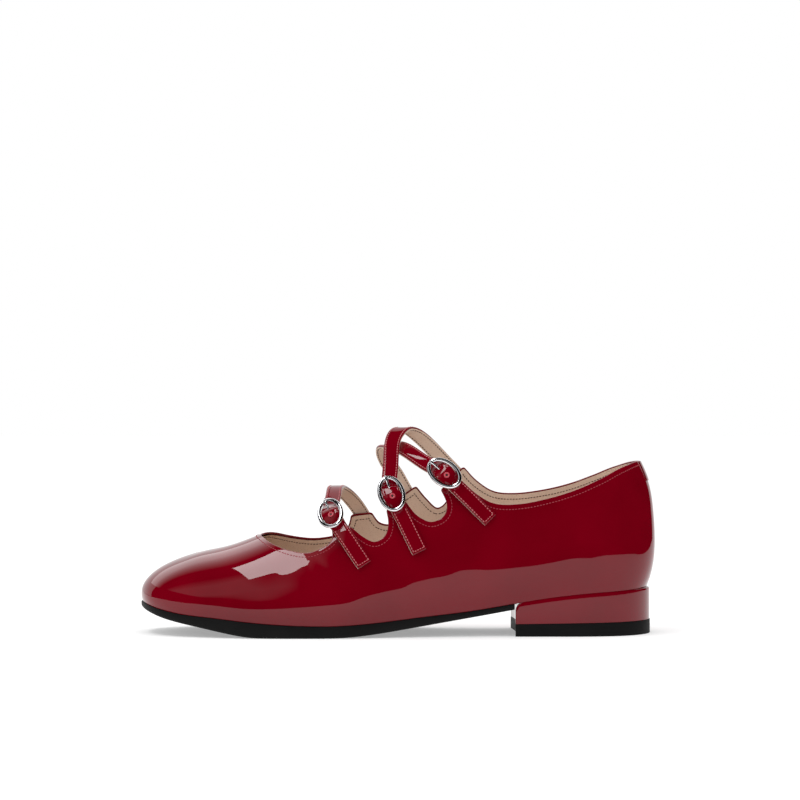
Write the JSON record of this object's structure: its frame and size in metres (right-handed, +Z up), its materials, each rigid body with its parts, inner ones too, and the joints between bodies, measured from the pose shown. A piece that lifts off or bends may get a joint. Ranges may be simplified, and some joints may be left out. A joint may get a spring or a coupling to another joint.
{
  "type": "mary jane shoe",
  "caption": "Low-heeled mary jane shoe for the left foot, with a scalloped opening and narrow buckled straps over the instep.",
  "frame": {"origin": "on the floor under the middle of the shoe's box", "axes": "+Z up, -X to the toe, +X to the heel, -Y to the outer side of the left foot where the buckles are"},
  "size_m": [0.2501, 0.0811, 0.0999],
  "materials": {
    "patent": "dark red patent leather with a clear high gloss",
    "sole": "matt black rubber",
    "lining": "pale beige smooth lining leather",
    "silver": "polished silver-coloured metal"
  },
  "bodies": {
    "root": {"upper": "patent", "insole": "lining", "outsole": "sole", "heel": "patent", "top_lift": "sole", "strap_front": "patent", "buckle_front": "silver", "prong_front": "silver", "loop_front": "patent", "strap_middle": "patent", "buckle_middle": "silver", "prong_middle": "silver", "loop_middle": "patent", "strap_rear": "patent", "buckle_rear": "silver", "prong_rear": "silver", "loop_rear": "patent"}
  },
  "joints": []
}
